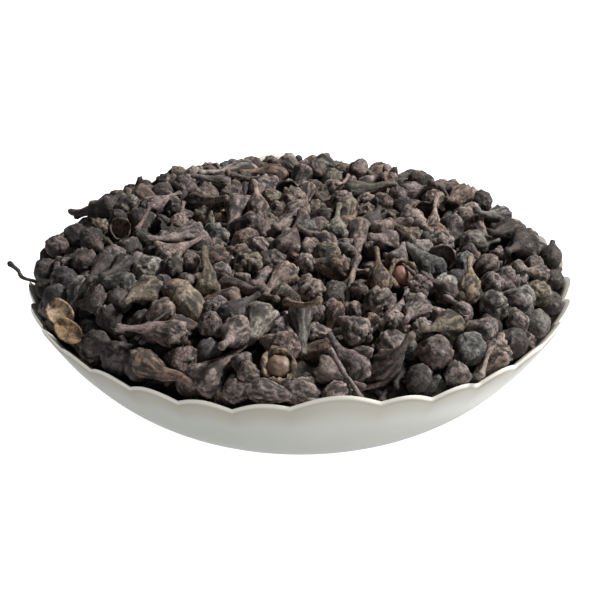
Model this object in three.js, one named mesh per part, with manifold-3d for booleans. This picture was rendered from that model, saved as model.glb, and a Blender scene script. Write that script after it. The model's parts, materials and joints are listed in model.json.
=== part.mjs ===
// A shallow scalloped bowl heaped with dried nagkesar buds, small clubs that taper into a stalk.
// Millimetres, +Z up. The origin is the centre of the bowl's flat base, and the side that is
// looked at in use faces -Y.

import * as THREE from 'three';
import * as BufferGeometryUtils from 'three/addons/utils/BufferGeometryUtils.js';
import Module from 'manifold-3d';

// Bowl: the wall is one curve that leaves the flat base level and meets the rim steeply.
const rimRadius = 70;
const rimHeight = 30;
const baseRadius = 33;
const wallKneeRadius = 53; // where the tangents at the base and at the rim meet
const wallThickness = 1.6;
const lipRound = 0.4;
const wallSteps = 5;

// Rim: arched lobes with sharp notches between them. A wide lobe at the front and one at the
// back stand on a swell of the rim.
const wideLobes = 2;
const narrowLobesBetween = 15;
const wideLobeAngle = 16.5; // degrees
const wideLobeAzimuth = 6.5; // degrees from -Y towards +X
const notchDrop = 2.8; // notches below rimHeight
const lobeRise = 2.3; // lobe tops above the notches
const swellRise = 4.6;
const swellSpread = 12; // degrees
const columnsPerLobe = 3;
const scallopRoot = 10; // height where the scallops have died out down the wall

// Heap: a flat-topped mound that falls steeply to the rim, a little fuller towards -X.
const fitGap = 0.3; // between the heap and the bowl
const moundHeight = 11.8; // of the topmost buds, above rimHeight
const moundSquareness = 12;
const moundShoulder = 2;
const moundLean = 0.03;
const moundRings = 4;
const coreSides = 36;
const coreDepth = 4.2; // of the core below the topmost buds
const coreEdge = 0.85; // how far up the wall's last step the core reaches

// Buds: a stalk, a cone that widens to the head, and a domed head.
const budCount = 150;
const budSides = 5;
const budSeed = 20;
const stalkRadius = 0.7;
const stalkLength = 6.5;
const headRadius = 3.1;
const headHeight = 13.2; // of the widest place, from the stalk's end
const crownRadius = 2.1;
const crownHeight = 15.6;
const budLength = 16.2;
const smallestBud = 0.86;
const largestBud = 1.14;
const budReach = 0.955; // outermost heads, as a share of rimRadius
const budSpread = 0.46; // under 0.5, so that buds lie closer together on the steep edge
const slopeReach = 6; // half the distance over which a bud feels the mound's slope
const lowestPitch = -10; // degrees, head down
const steepestPitch = 60; // degrees, head up
const headingTries = 16;
const inwardSteps = 4;
const inwardStep = 1.2;
const overhang = 1.5; // past rimRadius

const goldenAngle = Math.PI * (3 - Math.sqrt(5));
const wasm = await Module();
wasm.setup();

// A point of the wall's curve in the radius-height plane, moved by inset towards the inside of
// the bowl. share runs from 0 at the base to 1 at the rim.
function wallPoint(share, inset) {
  const rest = 1 - share;
  const radius = rest * rest * baseRadius + 2 * rest * share * wallKneeRadius
    + share * share * rimRadius;
  const height = share * share * rimHeight;
  const slope = new THREE.Vector2(
    rest * (wallKneeRadius - baseRadius) + share * (rimRadius - wallKneeRadius),
    share * rimHeight,
  ).normalize();
  return new THREE.Vector2(radius - inset * slope.y, height + inset * slope.x);
}

// The wall's curve from the base to the lip, which is cut level.
function wallCurve(inset) {
  const points = [];
  const aboveLip = wallPoint(1, inset).y - rimHeight;
  const lipShare = Math.sqrt(1 - aboveLip / rimHeight);
  for (let step = 0; step <= wallSteps; step += 1) {
    points.push(wallPoint(lipShare * step / wallSteps, inset));
  }
  return points;
}

// The columns of vertices round the bowl, with their azimuth and the rim's lift there.
function scallopColumns() {
  const halfTurn = 360 / wideLobes;
  const narrowLobeAngle = (halfTurn - wideLobeAngle) / narrowLobesBetween;
  const columns = [];
  let start = wideLobeAzimuth - wideLobeAngle / 2;
  for (let lobe = 0; lobe < wideLobes * (narrowLobesBetween + 1); lobe += 1) {
    const angle = lobe % (narrowLobesBetween + 1) === 0 ? wideLobeAngle : narrowLobeAngle;
    for (let column = 0; column < columnsPerLobe; column += 1) {
      const across = column / columnsPerLobe;
      const azimuth = start + across * angle;
      const turns = (azimuth - wideLobeAzimuth) / halfTurn;
      const fromSwell = (turns - Math.round(turns)) * halfTurn;
      const swell = swellRise * Math.exp(-((fromSwell / swellSpread) ** 2));
      const lift = swell - notchDrop + lobeRise * Math.sin(Math.PI * across);
      columns.push({ azimuth: THREE.MathUtils.degToRad(azimuth), lift });
    }
    start += angle;
  }
  return columns;
}

// A bowl-shaped solid between two insets of the wall's curve. The scallops slide its rim along
// the wall, so that the wall keeps its slope.
function bowlGeometry(outerInset, innerInset, rimRound) {
  const outer = wallCurve(outerInset);
  const inner = wallCurve(innerInset).reverse();
  const rimSlope = wallPoint(1, 0).sub(wallPoint(1 - 1 / wallSteps, 0)).normalize();
  const rimTop = outer[wallSteps].clone().lerp(inner[0], 0.5).addScaledVector(rimSlope, rimRound);
  const profile = [
    new THREE.Vector2(0, outer[0].y), ...outer, rimTop, ...inner,
    new THREE.Vector2(0, inner[wallSteps].y),
  ];
  const columns = scallopColumns();
  const geometry = new THREE.LatheGeometry(profile, columns.length);
  const position = geometry.attributes.position;
  for (let index = 0; index < position.count; index += 1) {
    const { azimuth, lift } = columns[Math.floor(index / profile.length) % columns.length];
    const point = profile[index % profile.length];
    const climb = lift * THREE.MathUtils.smoothstep(point.y, scallopRoot, rimHeight);
    const radius = point.x === 0 ? 0 : point.x + climb * rimSlope.x / rimSlope.y;
    position.setXYZ(index, radius * Math.sin(azimuth), point.y + climb, radius * Math.cos(azimuth));
  }
  return geometry.rotateX(Math.PI / 2);
}

// Height above the rim of the topmost buds, at a place in the plan.
function moundTop(x, y) {
  const radius = Math.hypot(x, y);
  const side = radius === 0 ? 0 : x / radius;
  const reach = rimRadius * (1 - moundLean * side);
  const fullness = 1 - Math.min(radius / reach, 1) ** moundSquareness;
  return moundHeight * fullness ** moundShoulder;
}

// The body of the heap, which fills the bowl and rises under the buds that show.
function coreGeometry() {
  const wall = wallCurve(wallThickness + fitGap);
  const edge = wall[wallSteps - 1].clone().lerp(wall[wallSteps], coreEdge);
  const profile = [new THREE.Vector2(0, wall[0].y), ...wall.slice(0, wallSteps), edge];
  for (let ring = moundRings - 1; ring >= 0; ring -= 1) {
    profile.push(new THREE.Vector2(edge.x * Math.sin(Math.PI / 2 * ring / moundRings), 0));
  }
  const geometry = new THREE.LatheGeometry(profile, coreSides).rotateX(Math.PI / 2);
  const position = geometry.attributes.position;
  for (let index = 0; index < position.count; index += 1) {
    if (index % profile.length > wallSteps + 1) {
      const top = moundTop(position.getX(index), position.getY(index));
      position.setZ(index, rimHeight + top - coreDepth);
    }
  }
  return geometry;
}

// A bud with the middle of its head at the origin and its stalk along -Y.
function budGeometry() {
  const profile = [
    new THREE.Vector2(0, 0),
    new THREE.Vector2(stalkRadius, 0),
    new THREE.Vector2(stalkRadius, stalkLength),
    new THREE.Vector2(headRadius, headHeight),
    new THREE.Vector2(crownRadius, crownHeight),
    new THREE.Vector2(0, budLength),
  ];
  return new THREE.LatheGeometry(profile, budSides).translate(0, -headHeight, 0);
}

function solidFrom(geometry) {
  const bare = geometry.clone();
  bare.deleteAttribute('normal');
  bare.deleteAttribute('uv');
  const merged = BufferGeometryUtils.mergeVertices(bare);
  return new wasm.Manifold(new wasm.Mesh({
    numProp: 3,
    vertProperties: new Float32Array(merged.attributes.position.array),
    triVerts: new Uint32Array(merged.index.array),
  }));
}

function geometryFrom(solid) {
  const mesh = solid.getMesh();
  const geometry = new THREE.BufferGeometry();
  geometry.setAttribute('position', new THREE.BufferAttribute(mesh.vertProperties, 3));
  geometry.setIndex(new THREE.BufferAttribute(mesh.triVerts, 1));
  return geometry;
}

function randomNumbers(seed) {
  let state = seed;
  return () => {
    state = (state * 16807) % 2147483647;
    return state / 2147483647;
  };
}

// Outward direction of the mound's surface at a place in the plan.
function moundNormal(x, y) {
  const riseX = moundTop(x + slopeReach, y) - moundTop(x - slopeReach, y);
  const riseY = moundTop(x, y + slopeReach) - moundTop(x, y - slopeReach);
  return new THREE.Vector3(-riseX, -riseY, 2 * slopeReach).normalize();
}

// The bud's pose: its head touches the mound's top surface from below, at a heading round the
// surface's normal and a pitch out of the surface.
function budPlacement(radius, azimuth, heading, pitch, size) {
  const x = radius * Math.sin(azimuth);
  const y = -radius * Math.cos(azimuth);
  const normal = moundNormal(x, y);
  const along = new THREE.Vector3(Math.cos(heading), Math.sin(heading), 0);
  along.addScaledVector(normal, -along.dot(normal)).normalize();
  const axis = along.multiplyScalar(Math.cos(pitch)).addScaledVector(normal, Math.sin(pitch));
  const place = new THREE.Vector3(x, y, rimHeight + moundTop(x, y));
  place.addScaledVector(normal, -headRadius * size);
  const turn = new THREE.Quaternion().setFromUnitVectors(new THREE.Vector3(0, 1, 0), axis);
  return new THREE.Matrix4().compose(place, turn, new THREE.Vector3(size, size, size));
}

// Balls that stand for the bud's head, cone and stalk where buds crowd each other.
function budBalls(placement, size) {
  const ball = (height, radius) => ({
    centre: new THREE.Vector3(0, height - headHeight, 0).applyMatrix4(placement),
    radius: radius * size,
  });
  const coneMiddle = (stalkLength + headHeight) / 2;
  return [
    ball(headHeight, headRadius),
    ball(coneMiddle, (stalkRadius + headRadius) / 2),
    ball(stalkLength, stalkRadius),
    ball(stalkLength / 2, stalkRadius),
    ball(0, stalkRadius),
  ];
}

// How deep one bud's balls lie in those of the buds already placed.
function crowding(balls, placedBalls) {
  let depth = 0;
  for (const ball of balls) {
    for (const other of placedBalls) {
      const gap = ball.centre.distanceTo(other.centre) - ball.radius - other.radius;
      depth += Math.max(-gap, 0);
    }
  }
  return depth;
}

function outermostRadius(geometry) {
  const position = geometry.attributes.position;
  let outermost = 0;
  for (let index = 0; index < position.count; index += 1) {
    outermost = Math.max(outermost, Math.hypot(position.getX(index), position.getY(index)));
  }
  return outermost;
}

// A bud takes the heading that crowds its neighbours least, from its own random one onwards. One
// that would touch the bowl or lie too far out is turned, then moved inwards, and is left out if
// neither helps.
function fittedBud(budShape, keepOut, placedBalls, bud) {
  for (let step = 0; step < inwardSteps; step += 1) {
    const choices = [];
    for (let turn = 0; turn < headingTries; turn += 1) {
      const heading = bud.heading + turn * 2 * Math.PI / headingTries;
      const radius = bud.radius - step * inwardStep;
      const placement = budPlacement(radius, bud.azimuth, heading, bud.pitch, bud.size);
      const balls = budBalls(placement, bud.size);
      choices.push({ placement, balls, depth: crowding(balls, placedBalls) });
    }
    choices.sort((a, b) => a.depth - b.depth);
    for (const { placement, balls } of choices) {
      const shape = budShape.clone().applyMatrix4(placement);
      if (outermostRadius(shape) < rimRadius + overhang) {
        const solid = solidFrom(shape);
        if (solid.intersect(keepOut).isEmpty()) {
          placedBalls.push(...balls);
          return solid;
        }
      }
    }
  }
  return null;
}

// The largest of the solid's separate shells, without hollows that fusing sealed.
function outerBody(solid) {
  return solid.decompose().reduce((a, b) => (b.volume() > a.volume() ? b : a));
}

function heapGeometry() {
  const random = randomNumbers(budSeed);
  const budShape = budGeometry();
  const keepOut = solidFrom(bowlGeometry(-fitGap, wallThickness + fitGap, lipRound + fitGap));
  const placedBalls = [];
  let heap = solidFrom(coreGeometry());
  for (let index = 0; index < budCount; index += 1) {
    const pitch = THREE.MathUtils.lerp(lowestPitch, steepestPitch, random() ** 2);
    const bud = fittedBud(budShape, keepOut, placedBalls, {
      radius: budReach * rimRadius * ((index + 0.5) / budCount) ** budSpread,
      azimuth: index * goldenAngle,
      heading: 2 * Math.PI * random(),
      pitch: THREE.MathUtils.degToRad(pitch),
      size: THREE.MathUtils.lerp(smallestBud, largestBud, random()),
    });
    if (bud) {
      heap = heap.add(bud);
    }
  }
  return geometryFrom(outerBody(heap));
}

const glaze = new THREE.MeshStandardMaterial({ color: 0xc6c8bf, roughness: 0.35, metalness: 0 });
const driedBud = new THREE.MeshStandardMaterial({ color: 0x4a423e, roughness: 0.8, metalness: 0 });

const group = new THREE.Group();

const bowl = new THREE.Mesh(bowlGeometry(0, wallThickness, lipRound), glaze);
bowl.name = 'bowl';
group.add(bowl);

const heap = new THREE.Mesh(heapGeometry(), driedBud);
heap.name = 'bud_heap';
group.add(heap);

export default group;
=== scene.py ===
"""A scalloped bowl heaped with dried nagkesar buds.

The bowl is a lathe made by Geometry Nodes. The heap is a core, painted dark as the shade deep
in the heap, with a bed of single buds packed over it. For the packing each bud is a short row of
balls, which is drawn to the mound's surface and pushed clear of its neighbours and of the bowl.
Geometry Nodes then set out the bud meshes at these places. Lengths are in millimetres until a
mesh is made, which is in metres.
"""

import json
import math
from dataclasses import dataclass

import bpy
import numpy as np
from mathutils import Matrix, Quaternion, Vector, noise

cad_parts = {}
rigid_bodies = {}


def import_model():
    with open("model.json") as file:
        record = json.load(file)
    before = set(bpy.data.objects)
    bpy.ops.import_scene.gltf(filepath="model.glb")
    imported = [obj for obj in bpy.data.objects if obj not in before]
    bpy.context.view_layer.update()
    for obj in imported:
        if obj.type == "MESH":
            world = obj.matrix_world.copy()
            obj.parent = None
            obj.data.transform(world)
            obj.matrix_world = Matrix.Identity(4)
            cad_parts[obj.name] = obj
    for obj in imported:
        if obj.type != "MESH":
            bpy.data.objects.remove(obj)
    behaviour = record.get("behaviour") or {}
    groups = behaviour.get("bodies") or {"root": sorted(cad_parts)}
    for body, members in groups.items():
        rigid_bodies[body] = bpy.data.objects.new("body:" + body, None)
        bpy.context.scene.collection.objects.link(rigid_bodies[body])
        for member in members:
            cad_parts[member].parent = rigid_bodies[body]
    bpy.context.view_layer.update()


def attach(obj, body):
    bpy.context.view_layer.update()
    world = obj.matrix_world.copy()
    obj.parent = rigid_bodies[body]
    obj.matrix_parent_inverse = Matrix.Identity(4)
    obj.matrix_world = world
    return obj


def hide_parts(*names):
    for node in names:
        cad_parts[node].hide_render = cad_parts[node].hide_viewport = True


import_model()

METRES = 0.001      # in a millimetre
NOISE_SEED = 1

# The bowl, as in the solids. The wall's curve runs from the base to the rim and bends towards
# the knee. Its azimuths are in degrees from -Y, which faces the viewer
RIM_RADIUS = 70.0
RIM_HEIGHT = 30.0
BASE_RADIUS = 33.0
KNEE_RADIUS = 53.0
WALL_THICKNESS = 1.6
NARROW_LOBES_BETWEEN = 15       # on each side, between the wide lobes in front and behind
WIDE_LOBE_DEGREES = 16.5
WIDE_LOBE_AZIMUTH = 6.5
NOTCH_DROP = 2.8
LOBE_RISE = 2.3
SWELL_RISE = 4.6
SWELL_SPREAD_DEGREES = 12.0
SCALLOP_ROOT = 10.0             # height from which the scallops begin to lift the wall
RIM_FLARE = 0.641               # how far the wall leans out for each millimetre of lift

# The bowl's mesh. Shares are of the way up the wall
COLUMNS_PER_LOBE = 12
ROWS_PER_SIDE = 40
BASE_SHARE = 0.3
LIP_CROWDING = 2.0
LIP_ROUNDING = 0.02
WELD_DISTANCE = 1e-6            # metres

# The mound's top surface, as in the solids, and the core under the buds
MOUND_HEIGHT = 11.8
MOUND_SQUARENESS = 12
MOUND_SHOULDER = 2
MOUND_LEAN = 0.03
SLOPE_REACH = 6.0
CORE_DEPTH = 9.0
CORE_LUMP = 1.6
CORE_RINGS, CORE_SIDES = 44, 120
CORE_EDGE = RIM_RADIUS - 8.5
CORE_GAP = 0.3
CORE_WALL_SHARES = (0.72, 0.55, 0.35, 0.15)

# The photograph's view, in its 600 x 600 frame
PHOTO_PX = 600
VIEW_ELEVATION = math.radians(25.5)
VIEW_DISTANCE = 5.5 * RIM_RADIUS
RIM_RADIUS_PX = 273.0
RIM_CENTRE_PX = (299.5, 269.0)
SENSOR_WIDTH = 36.0
FOCAL_PX = RIM_RADIUS_PX * VIEW_DISTANCE / RIM_RADIUS
SIGHT_RANGE = (0.7, 1.4)        # shares of the view's distance between which a sight meets the mound
SIGHT_STEP = 0.1

# The studio: each light's place and aim in metres, its size, power and colour
LIGHTS = {
    "key": ((0.95, 0.25, 1.22), (0, 0, 0.03), 0.36, 41.5, (1, 0.99, 0.97)),
    "fill": ((0.2, -1.0, 0.14), (0, 0, 0.02), 0.6, 2.4, (1, 1, 1)),
}
SKY_STRENGTH = 0.08
PAPER_REACH = 4000.0
PAPER_DROP = 0.2
PAPER_SHADE = 0.45
PAPER_BOUNCE = 0.42             # light that the paper gives off
PAPER_GLOW = 0.55               # and what the camera sees more of it

# How the buds are laid out. Scales are of a kind's own size
LANDMARK_SEED = 12
LANDMARK_SCALES = (1.08, 1.25)
LANDMARK_KIND_SCALES = {"flake": 0.75, "twig": 1.1, "wedge": 0.92}
LANDMARK_STRETCHES = (0.85, 1.25)
LANDMARK_END_DEPTH = 1.2
RIM_ZONE = 58.0                 # landmarks beyond this radius and behind this y are smaller
FRONT_ZONE = -35.0
RIM_ZONE_SCALE = 0.83
PACKING_SEED = 11
SURFACE_BUDS = 285
SURFACE_DEPTHS = (0, 0.8, 4.2)
BURIED_BUDS = 280
BURIED_TURN = 1.0
BURIED_DEPTH = 6.4
BURIED_DEPTH_SPREAD = (-1, 1.5)
# painted shade: how far the buried buds' colour is darkened, for the deep gaps between the buds on top
BURIED_PAINTED_SHADE = 0.46
LOOSE_REACH = RIM_RADIUS - 2.5
LOOSE_HEAD_REACH = RIM_RADIUS - 4.5
LOOSE_PITCHES = (-50, 5, 75)    # degrees
BUD_SCALES = (0.9, 1.3)
BUD_KIND_SCALES = {"twig": 0.85, "round": 0.92, "wedge": 0.8}
PAINTED_SHADE_SIDE = -32.0              # left of this x every other bud is dark, painted shade on the side away from the key light
GREY_SIDE = 38.0                # right of this x every third bud is slate
GAP_SPOTS = 1100
GAP_REACH = 67.0
GAP_DEPTH = 2.6
GAP_CLEARANCE = 1.1
GAP_SPACING = 5.0
GAP_TILT = 0.6
GAP_KINDS = ("round", "ribbed", "wedge", "lobed", "cone")
GAP_SCALES = (0.75, 0.95)
BUD_PLUMPNESS = (0.95, 1.06)
BUD_SHADES = (0.7, 1.3)
BUD_WARMTH = 0.05

# How the buds are packed
SEATING_ROUNDS = 25
PACKING_ROUNDS = 130
CLEARING_ROUNDS = (70, 95)      # when hiding buds go and the gaps are filled
SIGHT_ROUNDS_FROM = 26
PAIRING_ROUNDS = 10
PAIRING_MARGIN = 2.0
SOFTNESS = 0.42
SETTLING = 0.08
STALK_DROP = 0.03
ROOF_MARGIN = 0.5
FLOOR_MARGIN = 1.5
EDGE_SINK = 1.4                 # how much lower the buds lie in the band along the rim, behind
EDGE_BAND = (48, 66)
EDGE_FRONT_BAND = (-30, 10)
OVERHANG = 1.2
WALL_SHARES = (0.0, 0.3, 0.5, 0.7, 0.85, 1.0)
WALL_STEP = 3
LIP_PUSH = (-0.5, 1.0)
LIP_ZONE = 1
WALL_CROSSING = 0.7
SIGHT_CLEARANCE = 0.85
SIGHT_AHEAD = 0.5
SIGHT_PUSH = 1.5
SIGHT_SOFTNESS = 0.35
HIDING_SHARE = 1.0

# The finishes
FRUIT_COLOURS = ((136, 98, 84), (122, 100, 86), (114, 96, 76))
STREAK_STRETCH = (1, 1, 0.28)
# how unevenly the painted shade under the lip reaches down
LIP_SHADE_UNEVENNESS = 0.03


def smoothstep(low, high, value):
    share = np.clip((value - low) / (high - low), 0, 1)
    return share * share * (3 - 2 * share)


def unit(vectors):
    return vectors / np.maximum(np.linalg.norm(vectors, axis=-1, keepdims=True), 1e-9)


# ---------------------------------------------------------------- the surfaces that carry the buds


def mound_top(x, y):
    """Height of the mound's top surface, which the highest buds touch from below."""
    reach = np.hypot(x, y)
    lean = 1 - MOUND_LEAN * x / np.maximum(reach, 1e-6)
    share = np.minimum(reach / (RIM_RADIUS * lean), 1)
    return RIM_HEIGHT + MOUND_HEIGHT * (1 - share**MOUND_SQUARENESS) ** MOUND_SHOULDER


def mound_normal(x, y):
    east = (mound_top(x + SLOPE_REACH, y) - mound_top(x - SLOPE_REACH, y)) / (2 * SLOPE_REACH)
    north = (mound_top(x, y + SLOPE_REACH) - mound_top(x, y - SLOPE_REACH)) / (2 * SLOPE_REACH)
    return unit(np.stack([-east, -north, np.ones_like(east)], -1))


def rim_lift(azimuth):
    """How far the scalloped rim stands above RIM_HEIGHT, for an azimuth in degrees from -Y."""
    narrow = (180 - WIDE_LOBE_DEGREES) / NARROW_LOBES_BETWEEN
    start = WIDE_LOBE_AZIMUTH - WIDE_LOBE_DEGREES / 2
    turn = np.mod(azimuth - start, 180)
    in_wide = turn < WIDE_LOBE_DEGREES
    past = np.mod((turn - WIDE_LOBE_DEGREES) / narrow, 1)
    across = np.where(in_wide, turn / WIDE_LOBE_DEGREES, past)
    off_centre = np.mod(azimuth - WIDE_LOBE_AZIMUTH + 90, 180) - 90
    swell = SWELL_RISE * np.exp(-((off_centre / SWELL_SPREAD_DEGREES) ** 2))
    return swell - NOTCH_DROP + LOBE_RISE * np.sin(math.pi * across)


def wall_middle(share, azimuth):
    """Radius and height of the middle of the bowl's wall, from 0 at the base to 1 at the rim."""
    rest = 1 - share
    radius = rest**2 * BASE_RADIUS + 2 * rest * share * KNEE_RADIUS + share**2 * RIM_RADIUS
    height = share**2 * RIM_HEIGHT
    climb = rim_lift(azimuth) * smoothstep(SCALLOP_ROOT, RIM_HEIGHT, height)
    run = rest * (KNEE_RADIUS - BASE_RADIUS) + share * (RIM_RADIUS - KNEE_RADIUS)
    rise = share * RIM_HEIGHT
    inwards = WALL_THICKNESS / 2 / np.hypot(run, rise)
    return radius + climb * RIM_FLARE - rise * inwards, height + climb + run * inwards


def view_ray(pixel):
    """Start and direction of the line of sight through a pixel of the photograph."""
    sine, cosine = math.sin(VIEW_ELEVATION), math.cos(VIEW_ELEVATION)
    eye = np.array([0, -VIEW_DISTANCE * cosine, RIM_HEIGHT + VIEW_DISTANCE * sine])
    right = np.array([1.0, 0, 0])
    up = np.array([0, sine, cosine])
    ahead = np.array([0, cosine, -sine])
    across = pixel[0] - RIM_CENTRE_PX[0]
    down = pixel[1] - RIM_CENTRE_PX[1]
    return eye, unit(ahead * FOCAL_PX + right * across - up * down)


def on_mound(pixel, depth):
    """The first point on a pixel's line of sight that lies this far under the mound's top.

    A line of sight that misses the mound gives the point where it passes nearest to it, and one
    that passes beside the bowl the point abreast of the bowl's middle.
    """
    eye, direction = view_ray(pixel)
    near, far = SIGHT_RANGE
    steps = np.arange(VIEW_DISTANCE * near, VIEW_DISTANCE * far, SIGHT_STEP)
    points = eye + steps[:, None] * direction
    inside = np.hypot(points[:, 0], points[:, 1]) < RIM_RADIUS
    if not inside.any():
        return points[np.argmin(np.abs(points[:, 1]))]
    above = points[:, 2] - mound_top(points[:, 0], points[:, 1]) + depth
    under = inside & (above < 0)
    return points[np.argmax(under) if under.any() else np.argmin(np.where(inside, above, np.inf))]


# ---------------------------------------------------------------- the shapes of the buds


def profile_curve(corners, rings):
    """Rings on a rounded outline through (height, radius) corners, evenly spaced along it."""
    fine_count, window = 400, 15
    corners = np.array(corners, float)
    lengths = np.r_[0, np.cumsum(np.hypot(*np.diff(corners, axis=0).T))]
    fine = np.linspace(0, lengths[-1], fine_count)
    outline = np.stack([np.interp(fine, lengths, corners[:, side]) for side in (0, 1)], -1)
    padded = np.pad(outline, ((window, window), (0, 0)), "edge")
    kernel = np.ones(2 * window + 1) / (2 * window + 1)
    rounded = np.stack([np.convolve(padded[:, side], kernel, "valid") for side in (0, 1)], -1)
    rounded[0], rounded[-1] = outline[0], outline[-1]
    walk = np.r_[0, np.cumsum(np.hypot(*np.diff(rounded, axis=0).T))]
    even = np.linspace(0, walk[-1], rings)
    return np.stack([np.interp(even, walk, rounded[:, side]) for side in (0, 1)], -1)


@dataclass
class BudKind:
    """One kind of bud: its outline from the stalk's end, its balls for packing and its relief."""

    outline: list               # corners, each a height and a radius
    balls: list                 # six balls, each a height and a radius
    wrinkles: float = 0.0       # how far each sort of relief moves the skin
    lobes: float = 0.0
    cells: float = 0.0
    knobs: float = 0.0
    ragged: float = 0.0
    relief_from: float = 6.0    # height where the relief begins, and the crown
    crown_from: float = 13.0
    bend: float = 1.0
    rings: int = 28
    sides: int = 26
    variants: int = 8
    flatten: float = 0.08
    stalk_shares: tuple = (1.0, 0.85, 0.6, 0.4)     # how much of the stalk may be left

    @property
    def length(self):
        return max(height for height, radius in self.outline)


STALK = [(0, 0), (0, 0.62), (0.35, 0.92), (1.1, 0.82), (2.2, 0.62), (4.6, 0.6), (6.2, 0.72)]
CONE = [(7.6, 1.1), (9.4, 1.8), (11.2, 2.55), (12.4, 3.0)]
CLUB_BALLS = [(0.8, 0.7), (4.0, 0.7), (7.2, 1.0), (9.6, 1.7), (11.6, 2.5), (13.1, 3.0)]

KINDS = {
    "knobbly": BudKind(
        STALK + CONE + [(13.4, 3.15), (14.5, 2.95), (15.4, 2.25), (15.9, 1.2), (16.0, 0)],
        CLUB_BALLS, wrinkles=0.3, lobes=0.2, cells=0.75, knobs=0.5, rings=30, sides=28),
    "lobed": BudKind(
        STALK + CONE + [(13.3, 3.3), (14.2, 3.2), (15.1, 2.4), (15.5, 1.3), (15.3, 0)],
        CLUB_BALLS, wrinkles=0.4, lobes=0.7, cells=0.28, knobs=0.45, crown_from=12.6, rings=32, sides=30),
    "ribbed": BudKind(
        STALK + CONE + [(13.3, 3.1), (14.6, 2.75), (15.7, 1.9), (16.4, 0.9), (16.6, 0)],
        CLUB_BALLS, wrinkles=0.55, lobes=0.35, cells=0.3, knobs=0.35, crown_from=14.5),
    "cone": BudKind(
        [(0, 0), (0, 0.7), (0.4, 0.95), (1.4, 0.85), (3.2, 0.85), (5.6, 1.25), (8.4, 1.95),
         (11.0, 2.7), (12.3, 2.95), (13.1, 2.7), (13.5, 1.7), (13.6, 0)],
        [(0.8, 0.8), (3.4, 0.9), (5.8, 1.3), (8.0, 1.85), (9.8, 2.35), (11.2, 2.6)],
        wrinkles=0.35, knobs=0.3, cells=0.25, relief_from=3.0, crown_from=12.0, rings=26, sides=24),
    "wedge": BudKind(
        [(0, 0), (0, 0.8), (0.6, 1.0), (2.0, 1.3), (4.6, 2.5), (7.0, 3.5), (8.6, 3.9), (9.6, 3.5),
         (10.1, 2.0), (10.2, 0)],
        [(0.8, 0.8), (2.2, 1.1), (3.8, 1.8), (5.2, 2.5), (6.6, 3.1), (7.6, 3.4)],
        wrinkles=0.35, knobs=0.4, cells=0.4, relief_from=2.0, crown_from=8.4, bend=0.5, rings=26, sides=26),
    "round": BudKind(
        [(0, 0), (0, 0.6), (0.3, 0.85), (1.0, 0.75), (2.8, 0.75), (4.2, 1.5), (5.3, 2.6),
         (6.7, 3.2), (8.2, 3.25), (9.5, 2.75), (10.4, 1.7), (10.7, 0)],
        [(0.8, 0.7), (2.6, 0.8), (4.2, 1.4), (5.4, 2.2), (6.6, 2.9), (7.6, 3.1)],
        wrinkles=0.3, knobs=0.4, cells=0.35, relief_from=3.5, crown_from=8.4, bend=0.5),
    "open": BudKind(
        STALK + CONE + [(13.0, 3.6), (14.0, 4.0), (14.9, 3.65), (15.0, 3.0), (14.2, 2.45), (12.8, 2.3),
                        (12.4, 0)],
        CLUB_BALLS, wrinkles=0.5, lobes=0.3, cells=0.45, knobs=0.35, ragged=0.3, crown_from=13.2),
    "cup": BudKind(
        STALK + CONE + [(13.2, 2.95), (13.7, 2.7), (13.2, 2.4), (11.0, 2.0), (8.6, 1.0), (8.3, 0)],
        CLUB_BALLS, wrinkles=0.25, lobes=0.15, cells=0.2, knobs=0.3, ragged=0.4, crown_from=12.4,
        variants=5),
    "twig": BudKind(
        [(0, 0), (0, 0.65), (0.5, 0.95), (1.3, 0.75), (2.4, 0.5), (5.5, 0.46), (8.0, 0.5),
         (8.8, 0.72), (9.6, 0.52), (12.5, 0.55), (14.0, 0.75), (14.5, 1.0), (15.0, 0.7), (15.0, 0)],
        [(0.8, 0.9), (3.5, 0.75), (6.3, 0.75), (9.0, 0.85), (11.6, 0.75), (14.2, 1.0)],
        wrinkles=0.12, knobs=0.18, relief_from=0.0, crown_from=20.0, bend=2.4, rings=26, sides=10,
        stalk_shares=(1.0,)),
    "flake": BudKind(
        [(0, 0), (0.1, 2.2), (0.9, 3.6), (1.3, 4.0), (1.5, 3.7), (0.7, 2.2), (0.5, 0)],
        [(0.6, 1.4)] * 6, wrinkles=0.1, knobs=0.25, ragged=0.5, relief_from=-9.0, crown_from=0.9,
        bend=0.0, rings=14, sides=24, variants=3, flatten=0.3),
    "fruit": BudKind(
        [(11.0, 0), (11.2, 1.3), (12.0, 2.05), (13.2, 2.4), (14.3, 2.25), (15.1, 1.5), (15.4, 0)],
        CLUB_BALLS, wrinkles=0.1, knobs=0.3, relief_from=11.0, crown_from=14.0, rings=16, sides=20,
        variants=5, stalk_shares=(1.0,)),
}
BURIED_RINGS, BURIED_SIDES = 15, 11


def noise_at(points, scale, offset):
    return np.array([noise.noise(Vector(p) * scale + offset) for p in points])


def cells_at(points, scale, offset):
    """Rounded cells: 0.5 at the middle of each, down to -0.5 in the crevices between them."""
    def bulge(point):
        warp = noise.noise_vector(point * scale * 0.8 + offset) * 0.45
        near, following = noise.voronoi(point * scale + warp + offset)[0][:2]
        return min((following - near) * 1.7, 1.0)
    return np.array([bulge(Vector(p)) for p in points]) - 0.5


def closed_faces(rows, sides, flipped=False):
    """Faces of rows of points round an axis, with the first and the last point of all as poles."""
    first, last = 0, 1 + rows * sides
    top = 1 + (rows - 1) * sides
    faces = []
    for side in range(sides):
        following = (side + 1) % sides
        faces.append((first, 1 + following, 1 + side))
        for low in range(1, top, sides):
            high = low + sides
            faces.append((low + side, low + following, high + following, high + side))
        faces.append((top + side, top + following, last))
    return [face[:1] + face[:0:-1] for face in faces] if flipped else faces


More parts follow.
